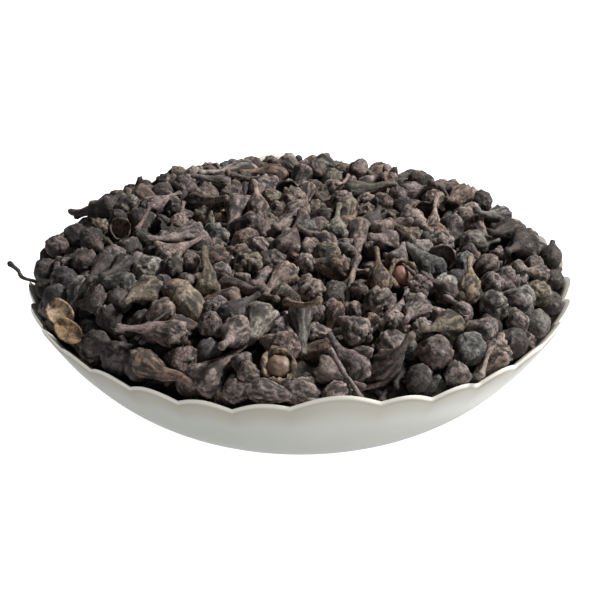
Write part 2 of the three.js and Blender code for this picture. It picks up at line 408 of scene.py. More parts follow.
def bud_outline(kind, draws, rings):
    """Rings on the kind's outline, with a part of the stalk broken off."""
    left = draws.choice(kind.stalk_shares)
    start = kind.relief_from
    if start <= 0:
        return profile_curve(kind.outline, rings)
    return profile_curve([(min(height, start) * left + max(height - start, 0) + start * (1 - left), radius)
                          for height, radius in kind.outline], rings)


def bud_shape(kind, draws, rings, sides):
    """Vertices, relief from -1 in a pit to 1 on a ridge, and faces of one bud."""
    curve = bud_outline(kind, draws, rings)
    height, radius = curve[1:-1, 0, None], curve[1:-1, 1, None]
    slope = np.gradient(curve, axis=0)[1:-1]
    out_radial = unit(np.stack([slope[:, 0], -slope[:, 1]], -1))
    around = np.linspace(0, 2 * math.pi, sides, endpoint=False)[None, :]
    offset = Vector(draws.uniform(-40, 40, 3))

    on_body = smoothstep(kind.relief_from, kind.relief_from + 4, height)
    on_crown = smoothstep(kind.crown_from - 1, kind.crown_from + 0.8, height)
    thick = smoothstep(0.3, 2.6, radius)

    skin = np.stack([radius * np.cos(around), radius * np.sin(around), height + 0 * around], -1)
    flat = skin.reshape(-1, 3)
    lumps = noise_at(flat, 0.42, offset).reshape(skin.shape[:2])
    knobs = noise_at(flat, 0.95, offset).reshape(skin.shape[:2])
    cells = cells_at(flat, 0.55, offset).reshape(skin.shape[:2]) if kind.cells else 0 * lumps

    # sharp creases along the bud, in three sets that cross
    folds = 0 * lumps
    for share in (1.0, 0.7, 0.5):
        waves = draws.integers(6, 14)
        twist = draws.uniform(-0.12, 0.12) * (height - 12)
        phase = draws.uniform(0, 2 * math.pi)
        crease = 1 - 2 * np.abs(np.sin((waves * (around + twist) + phase) / 2 + lumps)) ** 0.7
        folds += share * crease / 2.2
    lobe_count = draws.integers(4, 6)
    lobe_phase = draws.uniform(0, 2 * math.pi)
    seam = np.abs(np.sin(lobe_count * around / 2 + lobe_phase + 0.35 * lumps)) ** 0.5 - 0.75

    push = kind.wrinkles * folds * on_body * thick * (1 - 0.75 * on_crown)
    push = push + kind.lobes * seam * on_crown * (0.5 + 0.5 * thick)
    push = push + kind.cells * cells * (0.2 * on_body + 0.8 * on_crown)
    push = push + kind.knobs * (knobs * (0.3 + 0.7 * on_crown) + 0.8 * lumps * thick) * (0.3 + 0.7 * on_body)
    radius = radius + push * out_radial[:, :1]
    height = height + push * out_radial[:, 1:]
    if kind.ragged:
        teeth = np.sin(lobe_count * around + lobe_phase) + 1.6 * lumps[-1:] + 1.2 * knobs[-1:]
        height = height + kind.ragged * teeth * on_crown * smoothstep(2.0, 2.6, radius)

    full_push = max(0.8 * kind.wrinkles, 0.5 * kind.cells, 0.6 * kind.lobes, kind.knobs, 0.2)
    relief = np.clip(push / full_push, -1, 1)
    relief = np.concatenate([[0.0], relief.reshape(-1), [-0.4 if kind.lobes else 0.0]])
    oval = 1 + draws.uniform(-kind.flatten, kind.flatten)
    x = radius * np.cos(around) * oval
    y = radius * np.sin(around) / oval
    ends = np.array([[0, 0, curve[0, 0]], [0, 0, curve[-1, 0]]])
    points = np.concatenate([ends[:1], np.stack([x, y, height + 0 * x], -1).reshape(-1, 3), ends[1:]])

    # the stalk bends away from the straight head, in two directions
    below = np.clip(1 - points[:, 2] / (0.7 * kind.length), 0, None)
    way = draws.uniform(0, 2 * math.pi)
    bow = kind.bend * draws.uniform(0.3, 1.2) * below**2
    sway = kind.bend * draws.uniform(-0.35, 0.35) * np.sin(2.2 * math.pi * below)
    points[:, 0] += bow * math.cos(way) - sway * math.sin(way)
    points[:, 1] += bow * math.sin(way) + sway * math.cos(way)
    return points, relief, closed_faces(rings - 2, sides)


def mesh_from(name, points, faces):
    """A smooth mesh in metres from points in millimetres."""
    mesh = bpy.data.meshes.new(name)
    mesh.from_pydata([tuple(p) for p in np.asarray(points) * METRES], [], faces)
    mesh.update()
    mesh.shade_smooth()
    return mesh


def add_values(mesh, name, kind, values):
    """Stores one value or vector for each vertex."""
    attribute = mesh.attributes.new(name, kind, "POINT")
    field = {"FLOAT": "value", "INT": "value", "FLOAT_VECTOR": "vector", "FLOAT_COLOR": "color"}[kind]
    number = np.int32 if kind == "INT" else np.float32
    attribute.data.foreach_set(field, np.ascontiguousarray(values, number).ravel())


def bud_collection(name, kind, seed, rings, sides):
    """The variants of one kind, as objects that Geometry Nodes can pick from."""
    collection = bpy.data.collections.new(name)
    bpy.context.scene.collection.children.link(collection)
    draws = np.random.default_rng(seed)
    for number in range(kind.variants):
        points, relief, faces = bud_shape(kind, draws, rings, sides)
        mesh = mesh_from(f"{name}_{number:02d}", points, faces)
        add_values(mesh, "relief", "FLOAT", relief)
        add_values(mesh, "along", "FLOAT", points[:, 2] / kind.length)
        add_values(mesh, "place", "FLOAT_VECTOR", points + 50 * number)
        collection.objects.link(bpy.data.objects.new(mesh.name, mesh))
    return collection


# ---------------------------------------------------------------- where the buds lie

# Albedos, as sRGB shares of 255
TINTS = {
    "grey": (119, 106, 100),
    "mauve": (115, 102, 98),
    "dusk": (92, 79, 75),
    "dark": (63, 56, 54),
    "slate": (99, 96, 92),
    "olive": (102, 93, 80),
    "brown": (106, 88, 77),
    "pale": (130, 125, 115),
    "tan": (124, 108, 90),
    "straw": (140, 120, 100),
    "amber": (116, 93, 66),
}
TINT_SHARES = {"grey": 0.26, "mauve": 0.18, "dusk": 0.17, "dark": 0.12, "slate": 0.05, "olive": 0.1,
               "brown": 0.11, "pale": 0.03}
KIND_SHARES = {"knobbly": 0.3, "lobed": 0.15, "ribbed": 0.2, "cone": 0.1, "round": 0.14,
               "wedge": 0.04, "twig": 0.035, "cup": 0.01, "open": 0.01}

# Buds that stand out in the photograph: kind, pixel of the head, pixel of the stalk's end or None
# where the head faces the viewer, and tint
# the dark tint of the landmarks along the rims and the front lip is partly their own colour and partly
# painted shade
LANDMARKS = [
    ("open", (402, 276), None, "tan"),
    ("open", (279, 367), None, "tan"),
    ("knobbly", (247, 264), None, "olive"),
    ("twig", (357, 258), (341, 309), "mauve"),
    ("knobbly", (172, 334), (102, 323), "mauve"),
    ("round", (188, 304), (221, 348), "tan"),
    ("wedge", (260, 319), (251, 343), "pale"),
    ("cone", (300, 316), (303, 362), "slate"),
    ("knobbly", (235, 333), (222, 350), "grey"),
    ("knobbly", (284, 275), (254, 304), "grey"),
    ("knobbly", (337, 268), (281, 256), "brown"),
    ("knobbly", (312, 292), (322, 276), "grey"),
    ("twig", (286, 302), (325, 310), "tan"),
    ("knobbly", (357, 332), (322, 308), "mauve"),
    ("knobbly", (379, 302), (366, 285), "grey"),
    ("knobbly", (417, 309), (400, 325), "mauve"),
    ("twig", (466, 311), (424, 280), "mauve"),
    ("cone", (430, 267), (405, 243), "slate"),
    ("cup", (441, 258), (452, 240), "grey"),
    ("ribbed", (448, 325), (424, 331), "olive"),
    ("round", (435, 352), None, "dusk"),
    ("ribbed", (391, 346), (378, 330), "grey"),
    ("ribbed", (385, 364), (420, 366), "dusk"),
    ("cone", (358, 232), (356, 256), "mauve"),
    ("cone", (388, 242), (368, 236), "mauve"),
    ("ribbed", (469, 291), (470, 252), "tan"),
    ("round", (514, 346), None, "dark"),
    ("round", (539, 294), None, "olive"),
    ("cone", (516, 322), (503, 298), "grey"),
    ("round", (148, 270), None, "pale"),
    ("knobbly", (148, 292), (112, 305), "olive"),
    ("cone", (207, 287), (207, 250), "olive"),
    ("round", (57, 247), None, "dusk"),
    ("cone", (108, 208), (70, 214), "dark"),
    ("cup", (120, 228), None, "tan"),
    ("cone", (151, 366), (164, 397), "brown"),
    ("round", (106, 373), None, "dark"),
    ("round", (128, 383), None, "dark"),
    ("ribbed", (418, 379), None, "dark"),
    ("round", (562, 270), None, "dark"),
    ("ribbed", (549, 260), (530, 268), "dark"),
    ("knobbly", (524, 245), (503, 251), "dark"),
    ("round", (552, 306), None, "dark"),
    ("round", (47, 271), None, "dark"),
    ("knobbly", (36, 290), None, "dark"),
    ("knobbly", (84, 356), (112, 346), "dark"),
    ("cone", (236, 207), (229, 240), "mauve"),
    ("ribbed", (199, 201), (229, 200), "mauve"),
    ("ribbed", (538, 274), (518, 267), "mauve"),
    ("ribbed", (499, 217), (474, 214), "slate"),
    ("round", (481, 202), None, "dark"),
    ("ribbed", (507, 231), (486, 236), "dark"),
    ("round", (568, 288), None, "dark"),
    ("knobbly", (460, 197), (438, 203), "brown"),
    ("round", (470, 349), None, "slate"),
    ("ribbed", (84, 262), (86, 240), "dusk"),
    ("cone", (96, 303), (70, 304), "dark"),
    ("flake", (60, 314), None, "straw"),
    ("flake", (68, 332), None, "amber"),
    ("twig", (10, 264), (42, 290), "dark"),
]


class Bed:
    """The buds as rows of balls: six for each bud, on its straight axis."""

    COLUMNS = ("kinds", "tints", "ends", "axes", "scales", "stretches", "fixed", "buried", "depths")

    def __init__(self):
        self.rows = []

    def add(self, kind, tint, end, axis, scale, stretch=1.0, fixed=False, buried=False, depth=0.0):
        self.rows.append((kind, tint, end, axis, scale, stretch, fixed, buried, depth))

    def freeze(self):
        """Turns the rows into one array for each column, and adds the balls."""
        for name, values in zip(self.COLUMNS, zip(*self.rows)):
            setattr(self, name, np.array(values))
        del self.rows
        self.axes = unit(self.axes)
        rows = np.array([KINDS[kind].balls for kind in self.kinds])
        self.along = rows[:, :, 0] * (self.scales * self.stretches)[:, None]
        self.radii = rows[:, :, 1] * self.scales[:, None]
        self.weights = self.radii**2
        self.total = self.weights.sum(1, keepdims=True)
        self.middle = (self.weights * self.along).sum(1, keepdims=True) / self.total
        self.balls = self.ends[:, None] + self.axes[:, None] * self.along[..., None]

    def keep_only(self, keep):
        for name, values in list(vars(self).items()):
            setattr(self, name, values[keep])

    def join(self, other):
        for name, values in list(vars(self).items()):
            setattr(self, name, np.concatenate([values, getattr(other, name)]))

    def straighten(self, moved):
        """Fits the straight axis of each of these buds to its moved balls."""
        centre = (self.weights[..., None] * self.balls).sum(1) / self.total
        lever = self.weights * (self.along - self.middle)
        axes = unit((lever[..., None] * (self.balls - centre[:, None])).sum(1))
        self.axes[moved] = axes[moved]
        self.ends[moved] = (centre - axes * self.middle)[moved]
        straight = self.ends[:, None] + self.axes[:, None] * self.along[..., None]
        self.balls[moved] = straight[moved]


def golden_spot(number, count, full_reach, turn=0.0):
    """Radius, x and y of one of the spots that are spread evenly over a disc by the golden angle."""
    reach = full_reach * math.sqrt((number + 0.5) / count)
    angle = number * math.pi * (3 - math.sqrt(5)) + turn
    return reach, reach * math.cos(angle), reach * math.sin(angle)


def draw_name(draws, shares):
    return draws.choice(list(shares), p=np.array(list(shares.values())) / sum(shares.values()))


def add_landmarks(bed, draws):
    """Each landmark's head goes under its pixel, and its stalk's end under the other one."""
    for kind, head_px, end_px, tint in LANDMARKS:
        scale = draws.uniform(*LANDMARK_SCALES) * LANDMARK_KIND_SCALES.get(kind, 1)
        head_height, head_radius = KINDS[kind].balls[-1]
        x, y, _ = on_mound(head_px, head_radius)
        if math.hypot(x, y) > RIM_ZONE and y > FRONT_ZONE and kind != "flake":
            scale *= RIM_ZONE_SCALE
        head = on_mound(head_px, head_radius * scale)
        span = head_height * scale
        eye, sight = view_ray(end_px or head_px)
        if end_px is None:
            axis = unit(-sight + np.array([draws.uniform(-0.3, 0.3), 0, 0.5]))
            bed.add(kind, tint, head - axis * head_height * scale, axis, scale, fixed=True)
            continue
        nearest = (head - eye) @ sight
        gap = np.linalg.norm(eye + nearest * sight - head)
        extra = math.sqrt(max(span**2 - gap**2, 0))
        choices = [eye + (nearest + side * extra) * sight for side in (-1, 1)]
        depths = [abs(mound_top(*p[:2]) - LANDMARK_END_DEPTH - p[2]) for p in choices]
        end = choices[int(np.argmin(depths))]
        length = np.linalg.norm(head - end)
        stretch = np.clip(length / span, *LANDMARK_STRETCHES)
        axis = (head - end) / length
        bed.add(kind, tint, head - axis * span * stretch, axis, scale, stretch, fixed=True)


def add_loose_buds(bed, draws, count, buried):
    """Buds spread evenly over the mound, turned and tilted at random."""
    for number in range(count):
        reach, x, y = golden_spot(number, count, LOOSE_REACH, BURIED_TURN if buried else 0.0)
        kind = draw_name(draws, KIND_SHARES)
        if buried and kind in ("open", "cup"):
            kind = "knobbly"
        tint = draw_name(draws, TINT_SHARES)
        # painted shade: on the left, away from the key light, every other bud gets the dark tint
        if x < PAINTED_SHADE_SIDE and number % 2:
            tint = "dark"
        if x > GREY_SIDE and number % 3 == 0:
            tint = "slate"
        scale = draws.uniform(*BUD_SCALES) * BUD_KIND_SCALES.get(kind, 1)
        heading = draws.uniform(0, 2 * math.pi)
        pitch = math.radians(draws.triangular(*LOOSE_PITCHES))
        level = np.array([math.cos(heading), math.sin(heading), 0.0])
        normal = mound_normal(np.float64(x), np.float64(y))
        level = unit(level - normal * (level @ normal))
        axis = level * math.cos(pitch) + normal * math.sin(pitch)
        if buried:
            depth = BURIED_DEPTH + draws.uniform(*BURIED_DEPTH_SPREAD)
        else:
            depth = draws.triangular(*SURFACE_DEPTHS)
        head_height, head_radius = KINDS[kind].balls[-1]
        head = np.array([x, y, float(mound_top(x, y)) - head_radius * scale - depth])
        head[:2] *= min(1, LOOSE_HEAD_REACH / max(reach, 1e-6))
        bed.add(kind, tint, head - axis * head_height * scale, axis, scale, buried=buried, depth=depth)


def gap_buds(bed, draws):
    """More loose buds, upright, for the spots under the mound's surface that no bud is near."""
    extra, taken = Bed(), []
    for number in range(GAP_SPOTS):
        _, x, y = golden_spot(number, GAP_SPOTS, GAP_REACH)
        spot = np.array([x, y, float(mound_top(x, y)) - GAP_DEPTH])
        clear = (np.linalg.norm(bed.balls - spot, axis=-1) - bed.radii).min()
        if clear < GAP_CLEARANCE or any(np.linalg.norm(spot - other) < GAP_SPACING for other in taken):
            continue
        kind = GAP_KINDS[len(taken) % len(GAP_KINDS)]
        # painted shade: on the left every gap bud gets the dark tint
        tint = "dark" if x < PAINTED_SHADE_SIDE else draw_name(draws, TINT_SHARES)
        taken.append(spot)
        scale = draws.uniform(*GAP_SCALES)
        axis = unit(np.array([*draws.uniform(-GAP_TILT, GAP_TILT, 2), 1.0]))
        head_height, head_radius = KINDS[kind].balls[-1]
        head = spot - np.array([0, 0, head_radius * scale])
        extra.add(kind, tint, head - axis * head_height * scale, axis, scale, depth=GAP_DEPTH)
    extra.freeze()
    return extra


def keep_in_bowl(balls, radii):
    """Pushes balls off the bowl's wall, taken as a chain of capsules in each half plane."""
    reach = np.hypot(balls[..., 0], balls[..., 1])
    azimuth = np.degrees(np.arctan2(balls[..., 0], -balls[..., 1]))
    height = balls[..., 2]
    joints = [wall_middle(share, azimuth) for share in WALL_SHARES]
    best = np.full(reach.shape, 1e9)
    push_out, push_up = np.zeros_like(reach), np.zeros_like(reach)
    clear = radii + WALL_THICKNESS / 2
    for (r0, z0), (r1, z1) in zip(joints, joints[1:]):
        run, rise = r1 - r0, z1 - z0
        share = np.clip(((reach - r0) * run + (height - z0) * rise) / (run**2 + rise**2), 0, 1)
        off_out, off_up = reach - (r0 + share * run), height - (z0 + share * rise)
        inner = -(off_out * rise) + off_up * run
        away = np.hypot(off_out, off_up)
        signed = np.where((inner < 0) & (share < 1) & (share > 0), -away, away)
        nearer = signed < best
        length = np.hypot(run, rise)
        at_lip = share >= 1
        out_dir = np.where(at_lip, off_out / np.maximum(away, 1e-6), -rise / length)
        up_dir = np.where(at_lip, off_up / np.maximum(away, 1e-6), run / length)
        best = np.where(nearer, signed, best)
        push_out, push_up = np.where(nearer, out_dir, push_out), np.where(nearer, up_dir, push_up)
    deep = np.clip(clear - best, 0, WALL_STEP)
    lip_reach, lip_height = joints[-1]
    past_lip = reach > lip_reach
    above_lip = lip_height + clear - height
    deep = np.where(past_lip, np.maximum(above_lip, 0), deep)
    push_out = np.where(past_lip, LIP_PUSH[0], push_out)
    push_up = np.where(past_lip, LIP_PUSH[1], push_up)
    overhang = np.clip(reach + radii - lip_reach - OVERHANG * balls[..., 0] / RIM_RADIUS, 0, 1)
    inwards = np.where(height > lip_height - LIP_ZONE, overhang, 0)
    outwards = (deep * push_out - inwards) / np.maximum(reach, 1e-6)
    balls[..., 0] += outwards * balls[..., 0]
    balls[..., 1] += outwards * balls[..., 1]
    balls[..., 2] += deep * push_up


def past_the_wall(bed):
    """Buds with a ball in the wall or outside it, below the lip."""
    reach = np.hypot(bed.balls[..., 0], bed.balls[..., 1])
    azimuth = np.degrees(np.arctan2(bed.balls[..., 0], -bed.balls[..., 1]))
    share = np.sqrt(np.clip(bed.balls[..., 2] / RIM_HEIGHT, 0, 1))
    wall_radius, _ = wall_middle(share, azimuth)
    lip_height = RIM_HEIGHT + rim_lift(azimuth)
    crossing = (bed.balls[..., 2] < lip_height) & (reach > wall_radius - WALL_CROSSING * bed.radii)
    return crossing.any(1)


def touching_pairs(bed, margin):
    """Pairs of buds that are near enough to touch."""
    centre = bed.balls.mean(1)
    half = (np.linalg.norm(bed.balls - centre[:, None], axis=-1) + bed.radii).max(1)
    first, second = [], []
    for start in range(len(centre) - 1):
        gap = np.linalg.norm(centre[start + 1:] - centre[start], axis=1)
        near = np.nonzero(gap < half[start] + half[start + 1:] + margin)[0] + start + 1
        first.append(np.full(len(near), start))
        second.append(near)
    first, second = np.concatenate(first), np.concatenate(second)
    loose = ~(bed.fixed[first] & bed.fixed[second])
    return first[loose], second[loose]


def push_apart(bed, first, second):
    """Moves overlapping balls of two buds apart, a fixed bud not at all."""
    count = bed.balls.shape[1]
    apart = bed.balls[first][:, :, None] - bed.balls[second][:, None]
    distance = np.linalg.norm(apart, axis=-1)
    wanted = bed.radii[first][:, :, None] + bed.radii[second][:, None]
    deep = np.clip(wanted - distance, 0, None)
    pair, one, other = np.nonzero(deep)
    way = apart[pair, one, other] / np.maximum(distance[pair, one, other], 1e-6)[:, None]
    step = way * deep[pair, one, other][:, None] * SOFTNESS
    one_index = first[pair] * count + one
    other_index = second[pair] * count + other
    weight_one = bed.weights.ravel()[one_index]
    weight_other = bed.weights.ravel()[other_index]
    share = weight_other / (weight_one + weight_other)
    share = np.where(bed.fixed[second[pair]], 1.0, np.where(bed.fixed[first[pair]], 0.0, share))
    size = bed.balls.shape[0] * count
    moves = np.zeros((size, 3))
    for side in range(3):
        moves[:, side] = np.bincount(one_index, step[:, side] * share, size)
        moves[:, side] -= np.bincount(other_index, step[:, side] * (1 - share), size)
    bed.balls += moves.reshape(bed.balls.shape)


def clear_the_sight(bed, towards_eye):
    """Pushes loose buds aside where they hide a landmark, and gives how much of one each hides."""
    marks = bed.balls[bed.fixed].reshape(-1, 3)
    mark_radii = bed.radii[bed.fixed].ravel()
    loose = np.nonzero(~bed.fixed)[0]
    balls = bed.balls[loose].reshape(-1, 3)
    radii = bed.radii[loose].ravel()
    apart = balls[:, None] - marks[None]
    ahead = apart @ towards_eye
    aside = apart - ahead[..., None] * towards_eye
    distance = np.linalg.norm(aside, axis=-1)
    wanted = SIGHT_CLEARANCE * mark_radii[None] + radii[:, None]
    deep = np.where(ahead > SIGHT_AHEAD, np.clip(wanted - distance, 0, None), 0)
    covered = (deep / mark_radii[None]).max(1)
    worst = np.argmax(deep, 1)
    rows = np.arange(len(balls))
    way = aside[rows, worst] / np.maximum(distance[rows, worst], 1e-6)[:, None]
    balls += way * np.minimum(deep[rows, worst], SIGHT_PUSH)[:, None] * SIGHT_SOFTNESS
    bed.balls[loose] = balls.reshape(len(loose), -1, 3)
    hiding = np.zeros(len(bed.kinds))
    hiding[loose] = covered.reshape(len(loose), -1).max(1)
    return hiding


def seat_landmarks(bed):
    """Moves the landmarks off the bowl's wall, but for the flakes and stalks that lie over it."""
    seated = bed.fixed & ~np.isin(bed.kinds, ("twig", "flake"))
    for _ in range(SEATING_ROUNDS):
        balls = bed.balls[seated]
        keep_in_bowl(balls, bed.radii[seated])
        bed.balls[seated] = balls
        bed.straighten(seated)


def settle(bed):
    """Draws each head to its depth under the mound, and keeps all balls between roof and core."""
    x, y = bed.balls[..., 0], bed.balls[..., 1]
    sink = EDGE_SINK * smoothstep(*EDGE_BAND, np.hypot(x, y)) * smoothstep(*EDGE_FRONT_BAND, y)
    roof = mound_top(x, y) - bed.radii - sink - ROOF_MARGIN
    head = bed.balls[:, -1, 2]
    bed.balls[:, -1, 2] += SETTLING * (roof[:, -1] - bed.depths - head)
    bed.balls[:, :3, 2] -= STALK_DROP
    bed.balls[..., 2] = np.minimum(bed.balls[..., 2], roof + ROOF_MARGIN)
    floor = mound_top(x, y) - CORE_DEPTH - FLOOR_MARGIN
    bed.balls[..., 2] = np.maximum(bed.balls[..., 2], floor)


def pack_buds():
    """The bed of buds: the landmarks where the photograph has them, the loose ones round them."""
    draws = np.random.default_rng(PACKING_SEED)
    bed = Bed()
    add_landmarks(bed, np.random.default_rng(LANDMARK_SEED))
    add_loose_buds(bed, draws, SURFACE_BUDS, buried=False)
    add_loose_buds(bed, draws, BURIED_BUDS, buried=True)
    bed.freeze()
    seat_landmarks(bed)
    towards_eye = np.array([0, -math.cos(VIEW_ELEVATION), math.sin(VIEW_ELEVATION)])
    for step in range(PACKING_ROUNDS):
        if step % PAIRING_ROUNDS == 0:
            first, second = touching_pairs(bed, PAIRING_MARGIN)
        settle(bed)
        if step > SIGHT_ROUNDS_FROM:
            hiding = clear_the_sight(bed, towards_eye)
        if step in CLEARING_ROUNDS:
            bed.keep_only(hiding < HIDING_SHARE)
            bed.join(gap_buds(bed, draws))
            first, second = touching_pairs(bed, PAIRING_MARGIN)
        push_apart(bed, first, second)
        keep_in_bowl(bed.balls, bed.radii)
        bed.straighten(~bed.fixed)
    outside = past_the_wall(bed) & ~bed.fixed
    bed.keep_only(~outside & (hiding < HIDING_SHARE))
    return bed


# ---------------------------------------------------------------- node trees


def fill(tree, node, inputs):
    """Gives a node's inputs, by name or number, plain values or links to sockets and terms."""
    for name, value in inputs.items():
        value = getattr(value, "socket", value)
        if hasattr(value, "is_output"):
            tree.links.new(value, node.inputs[name])
        else:
            node.inputs[name].default_value = value


def add_node(tree, kind, inputs, **settings):
    node = tree.nodes.new(kind)
    for name, value in settings.items():
        setattr(node, name, value)
    fill(tree, node, inputs)
    return node


class Term:
    """A socket in a tree. Arithmetic on it adds Math nodes."""

    def __init__(self, tree, socket):
        self.tree = tree
        self.socket = socket

    def math(self, operation, *others):
        values = dict(enumerate((self, *others)))
        return Term(self.tree, add_node(self.tree, "ShaderNodeMath", values, operation=operation).outputs[0])

    def __add__(self, other):
        return self.math("ADD", other)

    def __sub__(self, other):
        return self.math("SUBTRACT", other)

    def __rsub__(self, other):
        return self.math("MULTIPLY_ADD", -1.0, other)

    def __mul__(self, other):
        return self.math("MULTIPLY", other)

    def __truediv__(self, other):
        return self.math("DIVIDE", other)

    def __neg__(self):
        return self.math("MULTIPLY", -1.0)

    def ramp(self, low, high, to_low=0.0, to_high=1.0):
        """A smooth step between two values."""
        inputs = {"Value": self, "From Min": low, "From Max": high, "To Min": to_low, "To Max": to_high}
        node = add_node(self.tree, "ShaderNodeMapRange", inputs, interpolation_type="SMOOTHSTEP")
        return Term(self.tree, node.outputs[0])


def new_tree(name, kind, inputs, outputs):
    """A node group, its inputs as terms by name, and its output node.

    Inputs are rows of name, socket type and default or None, and outputs of name and socket type.
    """
    tree = bpy.data.node_groups.new(name, kind)
    for socket_name, socket_type, default in inputs:
        socket = tree.interface.new_socket(socket_name, in_out="INPUT", socket_type=socket_type)
        if default is not None:
            socket.default_value = default
    for socket_name, socket_type in outputs:
        tree.interface.new_socket(socket_name, in_out="OUTPUT", socket_type=socket_type)
    given = tree.nodes.new("NodeGroupInput")
    terms = {socket.name: Term(tree, socket) for socket in given.outputs}
    return tree, terms, tree.nodes.new("NodeGroupOutput")


def end_tree(tree, geometry, material, result):
    """Makes the instances real and sets their material, as the last nodes of a tree."""
    real = add_node(tree, "GeometryNodeRealizeInstances", {0: geometry})
    painted = add_node(tree, "GeometryNodeSetMaterial", {"Geometry": real.outputs[0], "Material": material})
    tree.links.new(painted.outputs[0], result.inputs[0])


def apply_tree(mesh_object, tree, settings):
    """Runs a tree on an object and leaves its result as the object's plain mesh."""
    modifier = mesh_object.modifiers.new(tree.name, "NODES")
    modifier.node_group = tree
    for item in tree.interface.items_tree:
        if item.name in settings:
            modifier[item.identifier] = settings[item.name]
    graph = bpy.context.evaluated_depsgraph_get()
    evaluated = mesh_object.evaluated_get(graph)
    made = bpy.data.meshes.new_from_object(evaluated, preserve_all_data_layers=True, depsgraph=graph)
    mesh_object.modifiers.clear()
    mesh_object.data = made
    made.name = mesh_object.name
    return mesh_object


def new_object(name, data):
    made = bpy.data.objects.new(name, data)
    bpy.context.scene.collection.objects.link(made)
    return made


def bowl_tree():
    """Bends a grid into the scalloped bowl: up the outer wall, over the lip and down inside."""
    lengths = {
        "Rim radius": RIM_RADIUS, "Rim height": RIM_HEIGHT, "Base radius": BASE_RADIUS,
        "Knee radius": KNEE_RADIUS, "Thickness": WALL_THICKNESS, "Lip rounding": LIP_ROUNDING,
        "Lobes in half a turn": NARROW_LOBES_BETWEEN + 1.0, "Wide lobe": WIDE_LOBE_DEGREES,
        "Wide lobe azimuth": WIDE_LOBE_AZIMUTH, "Notch drop": NOTCH_DROP, "Lobe rise": LOBE_RISE,
        "Swell rise": SWELL_RISE, "Swell spread": SWELL_SPREAD_DEGREES, "Scallop root": SCALLOP_ROOT,
        "Rim flare": RIM_FLARE, "Unit": METRES}
    tree, size, result = new_tree("scalloped_bowl", "GeometryNodeTree", [
        ("Geometry", "NodeSocketGeometry", None),
        *((name, "NodeSocketFloat", default) for name, default in lengths.items()),
        ("Columns per lobe", "NodeSocketInt", COLUMNS_PER_LOBE),
        ("Rows", "NodeSocketInt", 2 * ROWS_PER_SIDE + 1),
        ("Material", "NodeSocketMaterial", None)], [("Geometry", "NodeSocketGeometry")])
    half_columns = size["Columns per lobe"] * size["Lobes in half a turn"]
    columns = half_columns * 2.0
    grid = add_node(tree, "GeometryNodeMeshGrid", {
        "Size X": 1.0, "Size Y": 1.0, "Vertices X": columns + 1.0, "Vertices Y": size["Rows"]})
    position = add_node(tree, "GeometryNodeInputPosition", {}).outputs[0]
    across, up = (Term(tree, socket) for socket in
                  add_node(tree, "ShaderNodeSeparateXYZ", {0: position}).outputs[:2])

    # the azimuth of each column, and how far the scallops lift the rim there
    column = ((across + 0.5) * columns).math("ROUND")
    half = ((column + 0.5) / half_columns).math("FLOOR")
    within = (column - half * half_columns) / size["Columns per lobe"]
    narrow = (180.0 - size["Wide lobe"]) / (size["Lobes in half a turn"] - 1.0)
    in_wide, in_narrow = within.math("MINIMUM", 1.0), (within - 1.0).math("MAXIMUM", 0.0)
    turned = in_wide * size["Wide lobe"] + in_narrow * narrow
    off_wide = half * 180.0 + (turned - size["Wide lobe"] / 2.0)
    azimuth = (off_wide + size["Wide lobe azimuth"]).math("RADIANS")
    spread = off_wide.math("WRAP", 90.0, -90.0) / size["Swell spread"]
    swell = size["Swell rise"] * (-(spread * spread)).math("EXPONENT")
    arch = (within * math.pi).math("SINE").math("ABSOLUTE")
    lift = swell - size["Notch drop"] + size["Lobe rise"] * arch

    # the place of each row on the wall: 0 on the axis, 1 on the lip, rows crowding at the lip
    row = up * 2.0
    up_wall = 1.0 - row.math("ABSOLUTE").math("POWER", LIP_CROWDING)
    past_lip = row.math("SIGN") * (1.0 - up_wall)
    inset = past_lip.ramp(-size["Lip rounding"], size["Lip rounding"], 0.0, size["Thickness"])
    on_base = (up_wall / BASE_SHARE).math("MINIMUM", 1.0)
    climbed = ((up_wall - BASE_SHARE) / (1 - BASE_SHARE)).math("MAXIMUM", 0.0)
    foot_run = size["Knee radius"] - size["Base radius"]
    rim_run = size["Rim radius"] - size["Knee radius"]
    rim_length = (rim_run * rim_run + size["Rim height"] * size["Rim height"]).math("SQRT")
    above_lip = inset * (rim_run / rim_length)
    share = climbed * (1.0 - above_lip / size["Rim height"]).math("SQRT")
    rest = 1.0 - share

    # the wall's curve, moved inwards by the inset and up by the scallops
    outer_radius = (rest * rest * (size["Base radius"] * on_base) + rest * share * 2.0 * size["Knee radius"]
                    + share * share * size["Rim radius"])
    run = rest * foot_run + share * rim_run
    rise = share * size["Rim height"]
    length = (run * run + rise * rise).math("SQRT")
    inner_radius = outer_radius - inset * rise / length
    inner_height = share * share * size["Rim height"] + inset * run / length
    climb = lift * inner_height.ramp(size["Scallop root"], size["Rim height"])
    radius = (climb * size["Rim flare"] + inner_radius) * size["Unit"]
    place = add_node(tree, "ShaderNodeCombineXYZ", {
        0: radius * azimuth.math("SINE"), 1: -(radius * azimuth.math("COSINE")),
        2: (climb + inner_height) * size["Unit"]})

    kept = add_node(tree, "GeometryNodeStoreNamedAttribute", {
        "Geometry": grid.outputs["Mesh"], "Name": "up_wall", "Value": up_wall}, domain="POINT")
    moved = add_node(tree, "GeometryNodeSetPosition", {
        "Geometry": kept.outputs[0], "Position": place.outputs[0]})
    welded = add_node(tree, "GeometryNodeMergeByDistance", {
        "Geometry": moved.outputs[0], "Distance": WELD_DISTANCE})
    smooth = add_node(tree, "GeometryNodeSetShadeSmooth", {"Geometry": welded.outputs[0]})
    end_tree(tree, smooth.outputs[0], size["Material"], result)
    return tree


